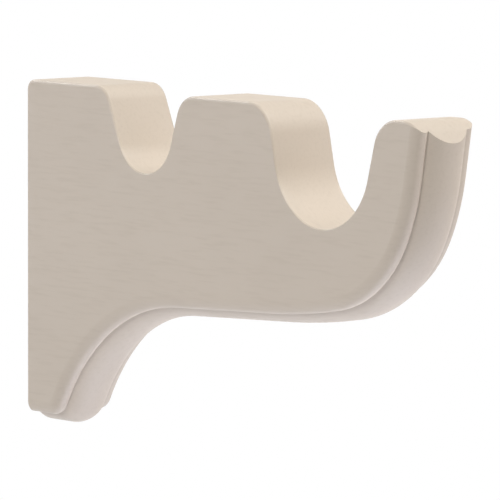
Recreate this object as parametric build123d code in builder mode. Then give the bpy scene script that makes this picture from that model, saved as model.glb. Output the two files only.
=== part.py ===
"""Two-pole curtain bracket, sawn from one board, with a moulding routed along its lower outline.

Millimetres. X runs out from the wall, Y across the board and Z up. The origin is on the wall face, half-way
between the two screw holes.
"""
from math import cos, radians, sin
import os

from build123d import *

os.makedirs("parts", exist_ok=True)

# Poles and the cups they lie in
rear_pole_d = 30.0
front_pole_d = 50.0
pole_gap = 0.8
rear_reach = 70.5
front_reach = 170.3
front_height = 45.0
rear_lift = 3.0

# Board and its sanded edges
thickness = 27.2
edge_round = 1.2
back_corner_r = 3.6

# Blocks beside the cups: rise above the front pole's centre, lean of the cup's wall, round of the corner
rear_block_rise = 17.8
rear_block_lean = 22.0
rear_block_round = 8.5
middle_block_rise = 16.7
middle_rear_lean = 17.0
middle_rear_round = 9.3
middle_front_lean = 12.0
middle_front_round = 13.5
nose_rise = 14.7
nose_lean = 15.0
nose_inner_round = 11.4
nose_flat = 4.5
nose_outer_round = 10.5
nose_fall = 52.0

# Lower outline from the wall to the nose: lengths, radii, and the heading after each bend in degrees.
# The straight underside is as long as the nose's depth beyond the front cup asks for.
tail_drop = 109.7
tail_foot = 12.4
tail_corner_r = 10.7
tail_slope = 62.0
hollow_r = 75.3
underside_slope = 2.5
knee_entry_r = 305.0
knee_entry_slope = 9.7
knee_r = 52.9
knee_exit_slope = 63.1
knee_exit_r = 83.5
front_slope = 79.9
nose_depth = 26.8

# Routed moulding: a round bead on each side and a wide rounded ridge between them
bead_width = 4.6
bead_depth = 3.2
quirk = 0.4
ridge_height = 4.1

# Screw holes for two double-ended wall screws
screw_hole_d = 5.0
screw_hole_depth = 26.0
screw_spacing = 70.0

# Room for the cutters outside the finished shape
overrun = 5.0
blank_allowance = 2.0
cutter_allowance = 3.0

rear_cup_r = rear_pole_d / 2 + pole_gap
front_cup_r = front_pole_d / 2 + pole_gap
rear_centre = Vector(rear_reach, front_height + rear_lift)
front_centre = Vector(front_reach, front_height)
rear_top = front_height + rear_block_rise
middle_top = front_height + middle_block_rise
nose_top = front_height + nose_rise
ceiling = max(rear_top, middle_top, nose_top) + overrun
tail_bottom = front_height - tail_drop
moulding_depth = bead_depth + ridge_height
half_board = thickness / 2


def mouth(centre, radius, lean, top, corner_r, side):
    """Give the cup's wall from its arc to a block's top: arc end, wall end and corner end (side -1 or 1)."""
    out = Vector(side * cos(radians(lean)), -sin(radians(lean)))
    up = Vector(side * sin(radians(lean)), cos(radians(lean)))
    arc_end = centre + out * radius
    climb = top - corner_r - arc_end.Y - out.Y * corner_r
    wall_end = arc_end + up * (climb / up.Y)
    corner_end = Vector((wall_end + out * corner_r).X, top)
    return arc_end, wall_end, corner_end


def bend_reach(radius, before, after):
    """Give a bend's length along X from the headings before and after it."""
    return radius * abs(sin(radians(after)) - sin(radians(before)))


bends_reach = (
    bend_reach(tail_corner_r, 0, tail_slope)
    + bend_reach(hollow_r, tail_slope, underside_slope)
    + bend_reach(knee_entry_r, underside_slope, knee_entry_slope)
    + bend_reach(knee_r, knee_entry_slope, knee_exit_slope)
    + bend_reach(knee_exit_r, knee_exit_slope, front_slope)
)
underside_reach = front_reach + front_cup_r + nose_depth - tail_foot - bends_reach
underside_length = underside_reach / cos(radians(underside_slope))


def lower_outline(outward):
    """Draw the lower outline, moved outward, in the current BuildLine from behind the wall to above the nose."""
    foot = Line((-overrun, tail_bottom - outward), (tail_foot, tail_bottom - outward))
    corner = JernArc(foot @ 1, foot % 1, tail_corner_r + outward, tail_slope)
    hollow = JernArc(corner @ 1, corner % 1, hollow_r - outward, underside_slope - tail_slope)
    underside = Line(hollow @ 1, hollow @ 1 + (hollow % 1) * underside_length)
    entry = JernArc(underside @ 1, underside % 1, knee_entry_r + outward, knee_entry_slope - underside_slope)
    knee = JernArc(entry @ 1, entry % 1, knee_r + outward, knee_exit_slope - knee_entry_slope)
    leave = JernArc(knee @ 1, knee % 1, knee_exit_r + outward, front_slope - knee_exit_slope)
    rise = leave % 1
    return Line(leave @ 1, leave @ 1 + rise * ((ceiling - (leave @ 1).Y) / rise.Y))


rear_back = mouth(rear_centre, rear_cup_r, rear_block_lean, rear_top, rear_block_round, -1)
rear_front = mouth(rear_centre, rear_cup_r, middle_rear_lean, middle_top, middle_rear_round, 1)
front_back = mouth(front_centre, front_cup_r, middle_front_lean, middle_top, middle_front_round, -1)
front_nose = mouth(front_centre, front_cup_r, nose_lean, nose_top, nose_inner_round, 1)

with BuildLine() as finished_outline:
    lower_outline(0)

with BuildPart() as bracket:
    # Board sawn to its outline
    with BuildSketch(Plane.XZ):
        with BuildLine():
            back = Line((0, tail_bottom - overrun), (0, rear_top - back_corner_r))
            back_corner = JernArc(back @ 1, back % 1, back_corner_r, -90)
            Line(back_corner @ 1, rear_back[2])
            TangentArc(rear_back[2], rear_back[1], tangent=(1, 0))
            Line(rear_back[1], rear_back[0])
            ThreePointArc(rear_back[0], rear_centre - Vector(0, rear_cup_r), rear_front[0])
            Line(rear_front[0], rear_front[1])
            TangentArc(rear_front[2], rear_front[1], tangent=(-1, 0))
            Line(rear_front[2], front_back[2])
            TangentArc(front_back[2], front_back[1], tangent=(1, 0))
            Line(front_back[1], front_back[0])
            ThreePointArc(front_back[0], front_centre - Vector(0, front_cup_r), front_nose[0])
            Line(front_nose[0], front_nose[1])
            TangentArc(front_nose[2], front_nose[1], tangent=(-1, 0))
            crest = Line(front_nose[2], front_nose[2] + Vector(nose_flat, 0))
            nose_arc = JernArc(crest @ 1, crest % 1, nose_outer_round, -nose_fall)
            slope = Line(nose_arc @ 1, nose_arc @ 1 + (nose_arc % 1) * nose_outer_round)
            side = Line(slope @ 1, Vector((slope @ 1).X, tail_bottom - overrun))
            Line(side @ 1, back @ 0)
        make_face()
        with BuildLine():
            front = lower_outline(blank_allowance)
            lid = Line(front @ 1, (-overrun, ceiling))
            Line(lid @ 1, (-overrun, tail_bottom - blank_allowance))
        make_face(mode=Mode.INTERSECT)
    extrude(amount=half_board, both=True)

    # Sanded edges along the top, the cups and the back
    sides = bracket.faces().filter_by(Axis.Y)
    sanded = sides.edges().filter_by(
        lambda edge: (edge @ 0.5).Z > front_height - front_cup_r - edge_round
        and (edge @ 0.5).X < front_nose[2].X + nose_flat + nose_outer_round * sin(radians(nose_fall))
    )
    fillet(sanded, edge_round)

    # Moulding routed along the whole lower outline
    with BuildSketch(Plane(origin=(-overrun, 0, tail_bottom), x_dir=(0, 1, 0), z_dir=(1, 0, 0))) as cutter:
        with BuildLine():
            bead_end = half_board - bead_width
            ridge_end = bead_end - quirk
            outside = half_board + cutter_allowance
            ThreePointArc((-ridge_end, ridge_height), (0, 0), (ridge_end, ridge_height))
            Line((ridge_end, ridge_height), (bead_end, ridge_height))
            TangentArc((bead_end, ridge_height), (half_board, moulding_depth), tangent=(1, 0))
            Polyline(
                (half_board, moulding_depth),
                (outside, moulding_depth),
                (outside, -cutter_allowance),
                (-outside, -cutter_allowance),
                (-outside, moulding_depth),
                (-half_board, moulding_depth),
            )
            TangentArc((-bead_end, ridge_height), (-half_board, moulding_depth), tangent=(-1, 0))
            Line((-bead_end, ridge_height), (-ridge_end, ridge_height))
        make_face()
    sweep(sections=cutter.sketch, path=Plane.XZ * finished_outline.line, mode=Mode.SUBTRACT)

    # Screw holes in the wall face
    with Locations((0, 0, screw_spacing / 2), (0, 0, -screw_spacing / 2)):
        Cylinder(
            screw_hole_d / 2,
            screw_hole_depth,
            rotation=(0, 90, 0),
            align=(Align.CENTER, Align.CENTER, Align.MIN),
            mode=Mode.SUBTRACT,
        )

bracket.part.label = "bracket"
export_step(bracket.part, "parts/bracket.step")
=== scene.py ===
"""Looks of a painted wooden bracket for two curtain poles, seen in soft studio light on white.

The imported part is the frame. The bracket's own mesh is swept and cut in the way the real one is made: a board
with sanded edges, a moulding cutter run along its lower outline and two pilot holes in its back.
"""
import logging
from dataclasses import dataclass, field
from enum import Enum
from math import asin, cos, degrees, radians, sin

import bpy
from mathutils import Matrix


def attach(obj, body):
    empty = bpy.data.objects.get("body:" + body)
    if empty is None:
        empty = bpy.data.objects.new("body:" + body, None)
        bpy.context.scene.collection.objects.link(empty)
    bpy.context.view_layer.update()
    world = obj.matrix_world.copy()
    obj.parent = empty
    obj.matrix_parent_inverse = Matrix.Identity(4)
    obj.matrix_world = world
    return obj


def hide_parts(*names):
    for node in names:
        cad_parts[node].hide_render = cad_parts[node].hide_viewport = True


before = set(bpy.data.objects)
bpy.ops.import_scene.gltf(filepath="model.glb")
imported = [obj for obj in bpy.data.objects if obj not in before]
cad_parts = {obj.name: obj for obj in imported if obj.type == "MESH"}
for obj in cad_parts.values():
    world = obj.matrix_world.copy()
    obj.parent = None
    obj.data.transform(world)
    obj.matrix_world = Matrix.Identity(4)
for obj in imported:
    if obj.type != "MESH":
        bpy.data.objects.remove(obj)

LOG = logging.getLogger("curtain_pole_bracket")
METRES = 0.001
WHITE = "#FFFFFF"
# Share that counts as the whole, with room for rounding
NEARLY_ALL = 0.99999
Point = tuple[float, float]


class Turn(Enum):
    """Which way a bend goes, seen along the line of travel."""

    LEFT = 1
    RIGHT = -1


def linear(hex_code: str) -> tuple[float, float, float, float]:
    """Turn an sRGB hex colour into linear light.

    Args:
        hex_code: Six hex digits after a hash.

    Returns:
        Red, green, blue and a full alpha.
    """
    shares = [int(hex_code[i:i + 2], 16) / 255 for i in (1, 3, 5)]
    light = [s / 12.92 if s <= 0.04045 else ((s + 0.055) / 1.055) ** 2.4 for s in shares]
    return (light[0], light[1], light[2], 1.0)


def add_node(
    tree: bpy.types.NodeTree,
    kind: str,
    settings: dict[str, object] | None = None,
    inputs: dict[str | int, object] | None = None,
) -> bpy.types.Node:
    """Add a node to a tree, with its settings, constants and links.

    Inputs are given by number where a node has several of one name. A Map Range takes its value at 0, the
    range that it comes from at 1 and 2, and the range that it goes to at 3 and 4. A Mix takes its share at 0.
    It takes values at 2 and 3, vectors at 4 and 5 or colours at 6 and 7, and gives them at output 0, 1 or 2.

    Args:
        tree: Shader or geometry tree.
        kind: Node type.
        settings: Values of the node's own properties.
        inputs: Constants and sockets, by the name or the number of the input that takes them. A list of
            sockets goes into one input.

    Returns:
        The new node.
    """
    node = tree.nodes.new(kind)
    for name, value in (settings or {}).items():
        setattr(node, name, value)
    for key, value in (inputs or {}).items():
        for part in value if isinstance(value, list) else [value]:
            if isinstance(part, bpy.types.NodeSocket):
                tree.links.new(part, node.inputs[key])
            else:
                node.inputs[key].default_value = part
    return node


class Pen:
    """Draws a flat line of straight runs and round bends, in millimetres."""

    def __init__(self, start: Point, heading: float, bend_step: float = 1.5) -> None:
        """Start a line.

        Args:
            start: First point.
            heading: Direction of travel in degrees, counted left from the first axis.
            bend_step: Degrees between points on a bend.
        """
        self.points: list[Point] = [start]
        self.heading = heading
        self.bend_step = bend_step

    def face(self, heading: float) -> "Pen":
        """Turn on the spot, which leaves a corner."""
        self.heading = heading
        return self

    def run(self, length: float) -> "Pen":
        """Draw a straight run."""
        x, y = self.points[-1]
        self.points.append((x + length * cos(radians(self.heading)), y + length * sin(radians(self.heading))))
        return self

    def bend(self, radius: float, angle: float, turn: Turn) -> "Pen":
        """Draw a round bend.

        Args:
            radius: Radius of the bend.
            angle: Degrees of turn.
            turn: Way of turning.

        Returns:
            The pen.
        """
        side = self.heading + 90 * turn.value
        x, y = self.points[-1]
        centre = (x + radius * cos(radians(side)), y + radius * sin(radians(side)))
        steps = max(2, round(angle / self.bend_step))
        for i in range(1, steps + 1):
            spoke = radians(side + 180 + turn.value * angle * i / steps)
            self.points.append((centre[0] + radius * cos(spoke), centre[1] + radius * sin(spoke)))
        self.heading += turn.value * angle
        return self

    def meeting(self, other: "Pen") -> Point:
        """Find where the straight lines ahead of two pens cross.

        Args:
            other: The second pen.

        Returns:
            The crossing point.
        """
        (ax, ay), (bx, by) = self.points[-1], other.points[-1]
        a, b = radians(self.heading), radians(other.heading)
        reach = ((bx - ax) * sin(b) - (by - ay) * cos(b)) / sin(b - a)
        return (ax + reach * cos(a), ay + reach * sin(a))


def curve_object(name: str, points: list[Point], closed: bool) -> bpy.types.Object:
    """Make a flat curve that a geometry tree can sweep.

    Args:
        name: Name of the object.
        points: Points in millimetres.
        closed: Whether the last point joins the first.

    Returns:
        The curve's object, in the scene.
    """
    data = bpy.data.curves.new(name, "CURVE")
    data.dimensions = "3D"
    spline = data.splines.new("POLY")
    spline.points.add(len(points) - 1)
    for place, (x, y) in zip(spline.points, points):
        place.co = (x * METRES, y * METRES, 0, 1)
    spline.use_cyclic_u = closed
    made = bpy.data.objects.new(name, data)
    bpy.context.scene.collection.objects.link(made)
    return made


@dataclass(frozen=True)
class SatinPaint:
    """Satin paint on sanded wood: an even putty colour with a soft sheen, and the grain just showing through.

    The upper edges of the board are rubbed smooth, and shine more than its faces.
    """

    name: str = "satin_paint_on_wood"
    colour: str = "#CDC1B2"
    shade: str = "#C8BCAD"
    grain: str = "#C2B6A7"
    roughness: float = 0.58
    roughness_swing: float = 0.05
    ior: float = 1.45
    # Broad clouds of shade, grain lines along the board, and the fine skin of the paint
    cloud_mm: float = 30.0
    grain_length_mm: float = 12.0
    # Real grain lines are nearer 0.3 mm apart, which is under a pixel, so they are drawn wider
    grain_width_mm: float = 1.1
    grain_height_mm: float = 0.004
    grain_strength: float = 0.6
    peel_mm: float = 1.4
    peel_height_mm: float = 0.006
    # Levels of the grain's noise between which its colour comes in, and the sheen goes from least to most
    # rough
    grain_levels: tuple[float, float] = (0.5, 0.85)
    sheen_levels: tuple[float, float] = (0.3, 0.7)
    # Detail and roughness of the noises
    soft_noise: tuple[float, float] = (2.0, 0.5)
    peel_noise: tuple[float, float] = (1.0, 0.4)
    # Rubbed edges: distance from the board's middle over which they come in, how far the surface looks to the
    # side as they fade out, and how far it looks up as they come in
    edge_roughness: float = 0.25
    edge_across_mm: tuple[float, float] = (12.2, 12.9)
    edge_sideways: tuple[float, float] = (0.9, 0.99)
    edge_upward: tuple[float, float] = (0.02, 0.1)

    def material(self) -> bpy.types.Material:
        """Build the paint's nodes.

        The eye gets a plain pale colour with broad soft highlights. Close to, fine lines run along the board
        where the grain has swollen under the paint, and show as dots on the cut ends in the cups.

        Returns:
            The material.
        """
        paint = bpy.data.materials.new(self.name)
        paint.use_nodes = True
        tree = paint.node_tree
        tree.nodes.clear()
        given = add_node(tree, "ShaderNodeTexCoord").outputs
        place = given["Object"]
        along = add_node(tree, "ShaderNodeMapping", inputs={"Vector": place, "Scale": (
            1 / (self.grain_length_mm * METRES), 1 / (self.grain_width_mm * METRES),
            1 / (self.grain_width_mm * METRES))}).outputs[0]
        lines, cloud, peel = (
            add_node(tree, "ShaderNodeTexNoise", inputs={
                "Vector": vector, "Scale": scale, "Detail": detail, "Roughness": rough}).outputs[0]
            for vector, scale, (detail, rough) in (
                (along, 1.0, self.soft_noise),
                (place, 1 / (self.cloud_mm * METRES), self.soft_noise),
                (place, 1 / (self.peel_mm * METRES), self.peel_noise),
            )
        )
        tint = add_node(tree, "ShaderNodeMix", {"data_type": "RGBA"}, {
            0: cloud, 6: linear(self.shade), 7: linear(self.colour)}).outputs[2]
        depth = add_node(tree, "ShaderNodeMapRange", inputs={
            0: lines, 1: self.grain_levels[0], 2: self.grain_levels[1],
            3: 0.0, 4: self.grain_strength}).outputs[0]
        tint = add_node(tree, "ShaderNodeMix", {"data_type": "RGBA"}, {
            0: depth, 6: tint, 7: linear(self.grain)}).outputs[2]
        gloss = add_node(tree, "ShaderNodeMapRange", inputs={
            0: lines, 1: self.sheen_levels[0], 2: self.sheen_levels[1],
            3: self.roughness - self.roughness_swing, 4: self.roughness + self.roughness_swing}).outputs[0]

        # Rubbed edges: near the board's flat sides, off them, and looking up
        spot, normal = (
            add_node(tree, "ShaderNodeSeparateXYZ", inputs={0: given[name]}).outputs
            for name in ("Object", "Normal"))
        across, facing = (
            add_node(tree, "ShaderNodeMath", {"operation": "ABSOLUTE"}, {0: axes["Y"]}).outputs[0]
            for axes in (spot, normal))
        outer = add_node(tree, "ShaderNodeMapRange", inputs={
            0: across, 1: self.edge_across_mm[0] * METRES, 2: self.edge_across_mm[1] * METRES}).outputs[0]
        turned = add_node(tree, "ShaderNodeMapRange", inputs={
            0: facing, 1: self.edge_sideways[0], 2: self.edge_sideways[1], 3: 1.0, 4: 0.0}).outputs[0]
        upward = add_node(tree, "ShaderNodeMapRange", inputs={
            0: normal["Z"], 1: self.edge_upward[0], 2: self.edge_upward[1]}).outputs[0]
        rubbed = add_node(tree, "ShaderNodeMath", {"operation": "MULTIPLY"}, {0: outer, 1: turned}).outputs[0]
        rubbed = add_node(tree, "ShaderNodeMath", {"operation": "MULTIPLY"}, {
            0: rubbed, 1: upward}).outputs[0]
        gloss = add_node(tree, "ShaderNodeMix", inputs={
            0: rubbed, 2: gloss, 3: self.edge_roughness}).outputs[0]

        skin = add_node(tree, "ShaderNodeBump", inputs={
            "Height": peel, "Distance": self.peel_height_mm * METRES, "Strength": 1.0}).outputs[0]
        skin = add_node(tree, "ShaderNodeBump", inputs={
            "Height": lines, "Distance": self.grain_height_mm * METRES, "Strength": 1.0,
            "Normal": skin}).outputs[0]
        shader = add_node(tree, "ShaderNodeBsdfPrincipled", inputs={
            "Base Color": tint, "Roughness": gloss, "Normal": skin, "IOR": self.ior})
        add_node(tree, "ShaderNodeOutputMaterial", inputs={0: shader.outputs[0]})
        return paint


@dataclass
class Cup:
    """A round cup that a pole lies in, in millimetres."""

    reach: float
    height: float
    radius: float

    def wall(self, lean: float, corner: float, top: float) -> float:
        """Give the length of the straight wall between the cup's round floor and a block's rounded corner."""
        climb = top - corner - self.height + (self.radius + corner) * sin(radians(lean))
        return climb / cos(radians(lean))

    def corner_reach(self, lean: float, corner: float, top: float) -> float:
        """Give how far from the cup's centre a block's flat top starts."""
        return (self.radius + corner) * cos(radians(lean)) + self.wall(lean, corner, top) * sin(radians(lean))


@dataclass
class Outline:
    """The bracket's side view, in millimetres and degrees."""

    rear_cup: Cup = field(default_factory=lambda: Cup(70.5, 48.0, 15.8))
    front_cup: Cup = field(default_factory=lambda: Cup(170.3, 45.0, 25.8))
    # Blocks beside the cups: heights of their tops, lean of the cups' walls and rounds of the corners
    rear_top: float = 62.8
    middle_top: float = 61.7
    nose_top: float = 59.7
    back_corner: float = 3.6
    rear_lean: float = 22.0
    rear_round: float = 8.5
    middle_rear_lean: float = 17.0
    middle_rear_round: float = 9.3
    middle_front_lean: float = 12.0
    middle_front_round: float = 13.5
    nose_lean: float = 15.0
    nose_inner_round: float = 11.4
    nose_flat: float = 4.5
    nose_outer_round: float = 10.5
    nose_fall: float = 52.0
    # Lower outline from the wall to the nose: lengths, radii, and the slope after each bend
    tail_bottom: float = -64.7
    tail_foot: float = 12.4
    tail_corner: float = 10.7
    tail_slope: float = 62.0
    hollow: float = 75.3
    underside_slope: float = 2.5
    knee_entry: float = 305.0
    knee_entry_slope: float = 9.7
    knee: float = 52.9
    knee_exit_slope: float = 63.1
    knee_exit: float = 83.5
    front_slope: float = 79.9
    nose_depth: float = 26.8

    def top(self, foot: float) -> Pen:
        """Draw the back, the blocks and the cups, from below the wall face to the nose's outer round.

        Args:
            foot: Height where the line starts.

        Returns:
            The pen, heading down the nose's outer slope.
        """
        rear, front = self.rear_cup, self.front_cup
        pen = Pen((0, foot), 90)
        pen.run(self.rear_top - self.back_corner - foot).bend(self.back_corner, 90, Turn.RIGHT)
        stops = (
            (rear, self.rear_lean, self.rear_round, self.rear_top,
             self.middle_rear_lean, self.middle_rear_round, self.middle_top),
            (front, self.middle_front_lean, self.middle_front_round, self.middle_top,
             self.nose_lean, self.nose_inner_round, self.nose_top),
        )
        for cup, lean_in, round_in, top_in, lean_out, round_out, top_out in stops:
            pen.run(cup.reach - cup.corner_reach(lean_in, round_in, top_in) - pen.points[-1][0])
            pen.bend(round_in, 90 - lean_in, Turn.RIGHT).run(cup.wall(lean_in, round_in, top_in))
            pen.bend(cup.radius, 180 - lean_in - lean_out, Turn.LEFT)
            pen.run(cup.wall(lean_out, round_out, top_out)).bend(round_out, 90 - lean_out, Turn.RIGHT)
        return pen.run(self.nose_flat).bend(self.nose_outer_round, self.nose_fall, Turn.RIGHT)

    def lower(self, outward: float, start: float) -> Pen:
        """Draw the lower outline from the wall to the nose.

        Args:
            outward: Distance outside the finished outline.
            start: Place of the first point along the reach.

        Returns:
            The pen, heading up the nose's front.
        """
        bends = (
            (self.tail_corner, 0.0, self.tail_slope),
            (self.hollow, self.tail_slope, self.underside_slope),
            (self.knee_entry, self.underside_slope, self.knee_entry_slope),
            (self.knee, self.knee_entry_slope, self.knee_exit_slope),
            (self.knee_exit, self.knee_exit_slope, self.front_slope),
        )
        spans = [radius * abs(sin(radians(after)) - sin(radians(before))) for radius, before, after in bends]
        nose_end = self.front_cup.reach + self.front_cup.radius + self.nose_depth
        straight = (nose_end - self.tail_foot - sum(spans)) / cos(radians(self.underside_slope))
        pen = Pen((start, self.tail_bottom - outward), 0)
        pen.run(self.tail_foot - start)
        for radius, before, after in bends:
            if after > before:
                pen.bend(radius + outward, after - before, Turn.LEFT)
            else:
                pen.bend(radius - outward, before - after, Turn.RIGHT).run(straight)
        return pen


@dataclass
class MouldedBoard:
    """The bracket: a board with sanded edges, a moulding routed along its lower outline and two pilot holes.

    Millimetres and degrees.
    """

    outline: Outline = field(default_factory=Outline)
    thickness: float = 27.2
    # Edges: rounded more along the tops than in the cups
    edge_round: float = 1.2
    cup_edge_round: float = 0.45
    cup_edges_below: float = 46.0
    top_edges_above: float = 60.0
    # Moulding: on each side a soft arris, a bead and a quirk, and a wide ridge between them. The near bead
    # rolls on past its crown into a grooved quirk. The far bead stops at its crown, beside a flat one.
    bead_width: float = 4.5
    bead_turn: float = 60.0
    near_roll: float = 30.0
    far_roll: float = 0.0
    arris_turn: float = 27.0
    arris_round: float = 7.5
    quirk: float = 0.5
    quirk_slope: float = 40.0
    ridge_height: float = 4.1
    # Pilot holes
    hole_diameter: float = 5.0
    hole_depth: float = 26.0
    hole_spacing: float = 70.0
    hole_sides: int = 48
    # Room for the cutters outside the finished shape, and outside the flat sides where the arris leaves them
    blank_allowance: float = 2.0
    cutter_allowance: float = 3.0
    overrun: float = 5.0
    break_through: float = 0.003
    # Mesh: strip beside a rounded edge, degrees between points on bends, welding distance, and the sharpest
    # edge that is shaded smooth
    support: float = 0.15
    edge_step: float = 6.0
    cutter_step: float = 3.0
    weld: float = 0.001
    crease_angle: float = 15.0

    def blank(self) -> list[Point]:
        """Draw the sawn board's outline, a little larger than the finished lower outline.

        Returns:
            The closed outline.
        """
        top = self.outline.top(self.outline.tail_bottom - self.blank_allowance)
        lower = self.outline.lower(self.blank_allowance, 0)
        return top.points + [top.meeting(lower)] + lower.points[:0:-1]

    def cutter_path(self) -> list[Point]:
        """Draw the line that the moulding cutter follows.

        Returns:
            The open line, past the board at both ends.
        """
        pen = self.outline.lower(0, -self.overrun)
        rise = self.outline.rear_top + self.overrun - pen.points[-1][1]
        return pen.run(rise / sin(radians(pen.heading))).points

    def edge_section(self, radius: float) -> list[Point]:
        """Draw the board's edge across its thickness.

        Args:
            radius: Round of the edge on both sides.

        Returns:
            The open section: inset to the right, then place across.
        """
        pen = Pen((radius, self.thickness / 2), 180, self.edge_step)
        pen.bend(radius, 90, Turn.LEFT).run(self.support)
        pen.run(self.thickness - 2 * (radius + self.support)).run(self.support)
        return pen.bend(radius, 90, Turn.LEFT).points

    def bead(self, roll: float) -> tuple[float, float]:
        """Work out a bead's radius, and how deep it goes from the ridge's foot to the flat side.

        Args:
            roll: Turn of the bead beyond its crown into the quirk.

        Returns:
            The radius and the depth.
        """
        turn, over = radians(self.bead_turn), radians(roll)
        start = radians(self.bead_turn + self.arris_turn)
        arris_width = self.arris_round * (sin(start) - sin(turn))
        radius = (self.bead_width - arris_width) / (sin(turn) + sin(over))
        return radius, self.arris_round * (cos(turn) - cos(start)) + radius * (cos(over) - cos(turn))

    def cutter_section(self) -> list[Point]:
        """Draw the moulding cutter's section, from the far side to the near side.

        Returns:
            The closed section: depth into the board to the left, then place across.
        """
        half = self.thickness / 2 + self.break_through
        ridge_end = half - self.bead_width - self.quirk
        ridge = (ridge_end ** 2 + self.ridge_height ** 2) / (2 * self.ridge_height)
        half_turn = degrees(asin(ridge_end / ridge))
        near, _ = self.bead(self.near_roll)
        far, far_depth = self.bead(self.far_roll)
        flank = self.quirk / 2 / cos(radians(self.quirk_slope))
        outside = half + self.cutter_allowance
        pen = Pen((-outside, far_depth + self.ridge_height), 0, self.cutter_step)
        pen.run(self.cutter_allowance).face(-self.bead_turn - self.arris_turn)
        pen.bend(self.arris_round, self.arris_turn, Turn.LEFT)
        pen.bend(far, self.bead_turn + self.far_roll, Turn.LEFT).face(0).run(self.quirk)
        pen.face(-half_turn).bend(ridge, 2 * half_turn, Turn.LEFT)
        pen.face(self.quirk_slope).run(flank).face(-self.quirk_slope).run(flank)
        pen.face(-self.near_roll).bend(near, self.near_roll + self.bead_turn, Turn.LEFT)
        pen.bend(self.arris_round, self.arris_turn, Turn.LEFT).face(0).run(self.cutter_allowance)
        corners = [(outside, -self.cutter_allowance), (-outside, -self.cutter_allowance)]
        return [(-depth, -across) for across, depth in pen.points + corners]

    def tree(self) -> bpy.types.NodeTree:
        """Build the geometry tree that makes the board.

        Returns:
            The tree. Its inputs are named for the curves and the sizes.
        """
        tree = bpy.data.node_groups.new("moulded_board", "GeometryNodeTree")
        face = tree.interface
        helpers = ("Edge Section", "Cup Edge Section", "Cutter Path", "Cutter Section")
        sizes = (
            "Thickness", "Cup Edges Below", "Top Edges Above", "Hole Diameter", "Hole Depth", "Hole Spacing",
            "Overrun", "Crease Angle")
        face.new_socket("Blank Outline", in_out="INPUT", socket_type="NodeSocketGeometry")
        for name in helpers:
            face.new_socket(name, in_out="INPUT", socket_type="NodeSocketObject")
        for name in sizes:
            face.new_socket(name, in_out="INPUT", socket_type="NodeSocketFloat")
        face.new_socket("Paint", in_out="INPUT", socket_type="NodeSocketMaterial")
        face.new_socket("Board", in_out="OUTPUT", socket_type="NodeSocketGeometry")
        given = add_node(tree, "NodeGroupInput").outputs
        curves = {
            name: add_node(tree, "GeometryNodeObjectInfo", inputs={"Object": given[name]}).outputs["Geometry"]
            for name in helpers
        }

        # Board: its edge swept round the outline, sanded soft along the tops and left crisp in the cups, and
        # the two flat sides filled in
        spot = add_node(tree, "GeometryNodeInputPosition").outputs[0]
        axes = add_node(tree, "ShaderNodeSeparateXYZ", inputs={0: spot}).outputs
        index = add_node(tree, "GeometryNodeInputIndex").outputs[0]
        band, crisp = (
            add_node(tree, "GeometryNodeCurveToMesh", inputs={
                "Curve": given["Blank Outline"], "Profile Curve": curves[name]}).outputs[0]
            for name in ("Edge Section", "Cup Edge Section")
        )
        crisp_spot = add_node(tree, "GeometryNodeSampleIndex", {"data_type": "FLOAT_VECTOR"}, {
            "Geometry": crisp, "Value": spot, "Index": index}).outputs[0]
        sanded = add_node(tree, "ShaderNodeMapRange", {"interpolation_type": "SMOOTHSTEP"}, {
            0: axes["Y"], 1: given["Cup Edges Below"], 2: given["Top Edges Above"]}).outputs[0]
        worked = add_node(tree, "ShaderNodeMix", {"data_type": "VECTOR"}, {
            0: sanded, 4: crisp_spot, 5: spot}).outputs[1]
        band = add_node(tree, "GeometryNodeSetPosition", inputs={
            "Geometry": band, "Position": worked}).outputs[0]
        half = add_node(tree, "ShaderNodeMath", {"operation": "MULTIPLY"}, {
            0: given["Thickness"], 1: 0.5}).outputs[0]
        near_half = add_node(tree, "ShaderNodeMath", {"operation": "MULTIPLY"}, {
            0: half, 1: NEARLY_ALL}).outputs[0]
        rim = add_node(tree, "FunctionNodeCompare", {"operation": "GREATER_THAN"}, {
            0: axes["Z"], 1: near_half}).outputs[0]
        loop = add_node(tree, "GeometryNodeMeshToCurve", inputs={"Mesh": band, "Selection": rim}).outputs[0]
        side = add_node(tree, "GeometryNodeFillCurve", {"mode": "NGONS"}, {"Curve": loop}).outputs[0]
        sides = []
        for sign in (1.0, -1.0):
            shift = add_node(tree, "ShaderNodeMath", {"operation": "MULTIPLY"}, {0: half, 1: sign}).outputs[0]
            move = add_node(tree, "ShaderNodeCombineXYZ", inputs={"Z": shift}).outputs[0]
            sides.append(add_node(tree, "GeometryNodeTransform", inputs={
                "Geometry": side, "Translation": move}).outputs[0])
        upper, under = sides
        under = add_node(tree, "GeometryNodeFlipFaces", inputs={"Mesh": under}).outputs[0]
        board = add_node(tree, "GeometryNodeJoinGeometry", inputs={0: [band, upper, under]}).outputs[0]
        board = add_node(tree, "GeometryNodeMergeByDistance", inputs={
            "Geometry": board, "Distance": self.weld * METRES}).outputs[0]

        # Cutter: the moulding's section swept along the finished lower outline
        cutter = add_node(tree, "GeometryNodeCurveToMesh", inputs={
            "Curve": curves["Cutter Path"], "Profile Curve": curves["Cutter Section"],
            "Fill Caps": True}).outputs[0]

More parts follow.
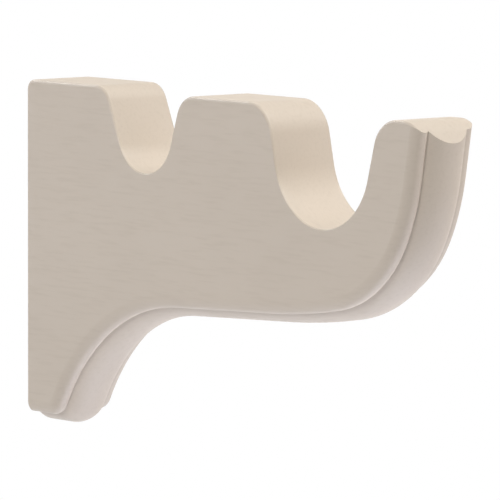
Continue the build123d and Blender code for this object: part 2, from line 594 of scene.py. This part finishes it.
        # Drill: one cylinder for each of the two screws, from outside the wall face to the hole's floor
        radius = add_node(tree, "ShaderNodeMath", {"operation": "MULTIPLY"}, {
            0: given["Hole Diameter"], 1: 0.5}).outputs[0]
        length = add_node(tree, "ShaderNodeMath", {"operation": "ADD"}, {
            0: given["Hole Depth"], 1: given["Overrun"]}).outputs[0]
        drill = add_node(tree, "GeometryNodeMeshCylinder", inputs={
            "Vertices": self.hole_sides, "Radius": radius, "Depth": length}).outputs[0]
        middle = add_node(tree, "ShaderNodeMath", {"operation": "SUBTRACT"}, {
            0: given["Hole Depth"], 1: given["Overrun"]}).outputs[0]
        middle = add_node(tree, "ShaderNodeMath", {"operation": "MULTIPLY"}, {0: middle, 1: 0.5}).outputs[0]
        low = add_node(tree, "ShaderNodeMath", {"operation": "MULTIPLY"}, {
            0: given["Hole Spacing"], 1: -0.5}).outputs[0]
        first = add_node(tree, "ShaderNodeCombineXYZ", inputs={"X": middle, "Y": low}).outputs[0]
        step = add_node(tree, "ShaderNodeCombineXYZ", inputs={"Y": given["Hole Spacing"]}).outputs[0]
        row = add_node(tree, "GeometryNodeMeshLine", inputs={
            "Count": 2, "Start Location": first, "Offset": step})
        drills = add_node(tree, "GeometryNodeInstanceOnPoints", inputs={
            "Points": row.outputs[0], "Instance": drill, "Rotation": (0, radians(90), 0)}).outputs[0]

        # Cut, stand up and shade: the sides stay flat, and real corners stay sharp
        cut = add_node(tree, "GeometryNodeMeshBoolean", {"operation": "DIFFERENCE", "solver": "EXACT"}, {
            "Mesh 1": board, "Mesh 2": [cutter, drills]}).outputs["Mesh"]
        stood = add_node(tree, "GeometryNodeTransform", inputs={
            "Geometry": cut, "Rotation": (radians(90), 0, 0)}).outputs[0]
        normal = add_node(tree, "ShaderNodeSeparateXYZ", inputs={
            0: add_node(tree, "GeometryNodeInputNormal").outputs[0]}).outputs["Y"]
        across = add_node(tree, "ShaderNodeMath", {"operation": "ABSOLUTE"}, {0: normal}).outputs[0]
        curved = add_node(tree, "FunctionNodeCompare", {"operation": "LESS_THAN"}, {
            0: across, 1: NEARLY_ALL}).outputs[0]
        smooth = add_node(tree, "GeometryNodeSetShadeSmooth", {"domain": "FACE"}, {
            "Geometry": stood, "Shade Smooth": curved}).outputs[0]
        angle = add_node(tree, "GeometryNodeInputMeshEdgeAngle").outputs["Unsigned Angle"]
        soft = add_node(tree, "FunctionNodeCompare", {"operation": "LESS_THAN"}, {
            0: angle, 1: given["Crease Angle"]}).outputs[0]
        smooth = add_node(tree, "GeometryNodeSetShadeSmooth", {"domain": "EDGE"}, {
            "Geometry": smooth, "Shade Smooth": soft}).outputs[0]
        plain = add_node(tree, "GeometryNodeRealizeInstances", inputs={"Geometry": smooth}).outputs[0]
        painted = add_node(tree, "GeometryNodeSetMaterial", inputs={
            "Geometry": plain, "Material": given["Paint"]}).outputs[0]
        add_node(tree, "NodeGroupOutput", inputs={0: painted})
        return tree

    def build(self, paint: bpy.types.Material) -> bpy.types.Object:
        """Make the board's mesh, dress it and set it on the part's frame.

        Args:
            paint: Finish of the whole board.

        Returns:
            The finished piece.
        """
        blank = curve_object("blank_outline", self.blank(), True)
        cup_edge = self.edge_section(self.cup_edge_round)
        helpers = {
            "Edge Section": curve_object("edge_section", self.edge_section(self.edge_round), False),
            "Cup Edge Section": curve_object("cup_edge_section", cup_edge, False),
            "Cutter Path": curve_object("cutter_path", self.cutter_path(), False),
            "Cutter Section": curve_object("cutter_section", self.cutter_section(), True),
        }
        tree = self.tree()
        sockets = {item.name: item.identifier for item in tree.interface.items_tree if item.in_out == "INPUT"}
        making = blank.modifiers.new("moulded_board", "NODES")
        making.node_group = tree
        values = {
            "Thickness": self.thickness * METRES,
            "Cup Edges Below": self.cup_edges_below * METRES,
            "Top Edges Above": self.top_edges_above * METRES,
            "Hole Diameter": self.hole_diameter * METRES,
            "Hole Depth": self.hole_depth * METRES,
            "Hole Spacing": self.hole_spacing * METRES,
            "Overrun": self.overrun * METRES,
            "Crease Angle": radians(self.crease_angle),
            "Paint": paint,
        } | helpers
        for name, value in values.items():
            making[sockets[name]] = value
        graph = bpy.context.evaluated_depsgraph_get()
        mesh = bpy.data.meshes.new_from_object(blank.evaluated_get(graph), depsgraph=graph)
        for helper in (blank, *helpers.values()):
            bpy.data.objects.remove(helper)
        piece = bpy.data.objects.new("painted_bracket", mesh)
        bpy.context.scene.collection.objects.link(piece)
        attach(piece, "root")
        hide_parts("bracket")
        return piece


@dataclass(frozen=True)
class Lamp:
    """A square area lamp that faces the bracket.

    Degrees, metres and watts. Azimuth 0 is in front of the bracket's near side, and 90 in front of its nose.
    """

    name: str
    azimuth: float
    elevation: float
    distance: float
    size: float
    power: float
    colour: str = WHITE

    def build(self, target: tuple[float, float, float]) -> bpy.types.Object:
        """Hang the lamp and turn it to its target.

        Args:
            target: Point that the lamp faces.

        Returns:
            The lamp, which the camera doesn't see.
        """
        a, e = radians(self.azimuth), radians(self.elevation)
        data = bpy.data.lights.new(self.name, "AREA")
        data.size = self.size
        data.energy = self.power
        data.color = linear(self.colour)[:3]
        lamp = bpy.data.objects.new(self.name, data)
        lamp.location = (
            target[0] + self.distance * cos(e) * sin(a),
            target[1] - self.distance * cos(e) * cos(a),
            target[2] + self.distance * sin(e),
        )
        lamp.rotation_euler = (radians(90) - e, 0, a)
        lamp.visible_camera = False
        bpy.context.scene.collection.objects.link(lamp)
        return lamp


@dataclass
class Studio:
    """White card floor, white surround, soft boxes and two small lamps, in metres."""

    centre: tuple[float, float, float] = (0.11, 0.0, 0.0)
    # The floor is as far down as under a bracket above a window, and doesn't hide the view from below
    floor_height: float = -2.4
    floor_size: float = 40.0
    floor_colour: str = "#F0F0F0"
    # Distances from the bracket between which the card fades to plain white, and its share of white before
    card_reach: float = 2.4
    white_reach: float = 3.6
    card_white: float = 0.78
    # Light that the surround gives, where 1 is white
    fill_level: float = 0.05
    # The floor's soft box gives the light that a nearer floor would throw up
    lamps: tuple[Lamp, ...] = (
        Lamp("top_soft_box", 130, 60, 1.8, 1.2, 30.0),
        Lamp("right_soft_box", 110, 45, 1.8, 1.2, 5.8, "#FFF0DC"),
        Lamp("left_soft_box", -60, 10, 1.8, 1.2, 13.3, "#F1F5FF"),
        Lamp("front_soft_box", 12, 20, 1.8, 0.5, 13.1, "#FFFCFA"),
        Lamp("low_soft_box", 135, -35, 0.7, 0.4, 1.7, "#FCF8FF"),
        Lamp("under_soft_box", 95, -74, 0.45, 0.3, 1.0, "#DCE4FF"),
        Lamp("floor_soft_box", 60, -80, 0.8, 4.0, 19.0),
        Lamp("rim_lamp", -15, 50, 1.8, 0.25, 2.0),
        Lamp("edge_lamp", -80, 38, 1.8, 0.25, 2.0),
    )

    def build(self) -> None:
        """Lay the floor, set the surround and hang the lamps."""
        floor_data = bpy.data.meshes.new("floor")
        reach = self.floor_size / 2
        corners = ((-reach, -reach), (reach, -reach), (reach, reach), (-reach, reach))
        floor_data.from_pydata([(x, y, self.floor_height) for x, y in corners], [], [(0, 1, 2, 3)])
        floor = bpy.data.objects.new("floor", floor_data)
        bpy.context.scene.collection.objects.link(floor)
        floor_data.materials.append(self.floor_material())
        self.surround()
        for lamp in self.lamps:
            lamp.build(self.centre)

    @staticmethod
    def seen(tree: bpy.types.NodeTree) -> bpy.types.NodeSocket:
        """Tell rays that show a surface from rays that carry light between matt surfaces.

        Args:
            tree: Shader tree of the surface.

        Returns:
            A socket with 1 for rays from the camera, a gloss or a glass, and 0 for the others.
        """
        path = add_node(tree, "ShaderNodeLightPath").outputs
        straight = add_node(tree, "ShaderNodeMath", {"operation": "MAXIMUM"}, {
            0: path["Is Camera Ray"], 1: path["Is Glossy Ray"]}).outputs[0]
        return add_node(tree, "ShaderNodeMath", {"operation": "MAXIMUM"}, {
            0: straight, 1: path["Is Transmission Ray"]}).outputs[0]

    def floor_material(self) -> bpy.types.Material:
        """Build matt white card, which shows its own light and shadow faintly below the bracket.

        Returns:
            The material, plain white further out.
        """
        card = bpy.data.materials.new("white_card")
        card.use_nodes = True
        tree = card.node_tree
        tree.nodes.clear()
        matt = add_node(tree, "ShaderNodeBsdfDiffuse", inputs={"Color": linear(self.floor_colour)})
        white = add_node(tree, "ShaderNodeEmission", inputs={"Color": linear(WHITE), "Strength": 1.0})
        away = add_node(tree, "ShaderNodeVectorMath", {"operation": "LENGTH"}, {
            0: add_node(tree, "ShaderNodeTexCoord").outputs["Object"]}).outputs["Value"]
        fade = add_node(tree, "ShaderNodeMapRange", inputs={
            0: away, 1: self.card_reach, 2: self.white_reach, 3: self.card_white, 4: 1.0}).outputs[0]
        share = add_node(tree, "ShaderNodeMath", {"operation": "MULTIPLY"}, {
            0: fade, 1: self.seen(tree)}).outputs[0]
        both = add_node(tree, "ShaderNodeMixShader", inputs={
            0: share, 1: matt.outputs[0], 2: white.outputs[0]})
        add_node(tree, "ShaderNodeOutputMaterial", inputs={0: both.outputs[0]})
        return card

    def surround(self) -> None:
        """Show the world white, and let it give only a little even light."""
        world = bpy.data.worlds.new("white_surround")
        world.use_nodes = True
        bpy.context.scene.world = world
        tree = world.node_tree
        tree.nodes.clear()
        level = add_node(tree, "ShaderNodeMapRange", inputs={0: self.seen(tree), 3: self.fill_level, 4: 1.0})
        light = add_node(tree, "ShaderNodeBackground", inputs={
            "Color": linear(WHITE), "Strength": level.outputs[0]})
        add_node(tree, "ShaderNodeOutputWorld", inputs={0: light.outputs[0]})


@dataclass(frozen=True)
class View:
    """The photograph's long-lens camera: metres for its place, degrees, and millimetres for its lens."""

    location: tuple[float, float, float] = (1.77139, -1.34607, 0.21349)
    yaw: float = 50.9115
    pitch: float = 5.5237
    lens: float = 432.0
    sensor: float = 36.0

    def build(self) -> bpy.types.Object:
        """Set up the camera and make it the scene's own.

        Returns:
            The camera.
        """
        data = bpy.data.cameras.new("camera")
        data.lens = self.lens
        data.sensor_width = self.sensor
        camera = bpy.data.objects.new("camera", data)
        camera.location = self.location
        camera.rotation_euler = (radians(90 - self.pitch), 0, radians(self.yaw))
        bpy.context.scene.collection.objects.link(camera)
        bpy.context.scene.camera = camera
        return camera


def main() -> None:
    """Build the bracket, its studio and its camera."""
    logging.basicConfig(level=logging.INFO, format="%(name)s: %(message)s")
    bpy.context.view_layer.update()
    bpy.context.scene.view_settings.view_transform = "Standard"
    board = MouldedBoard().build(SatinPaint().material())
    LOG.info("%s: %d faces", board.name, len(board.data.polygons))
    Studio().build()
    LOG.info("studio: floor, surround and lamps")
    View().build()
    LOG.info("camera: photograph's view")


if __name__ == "__main__":
    main()
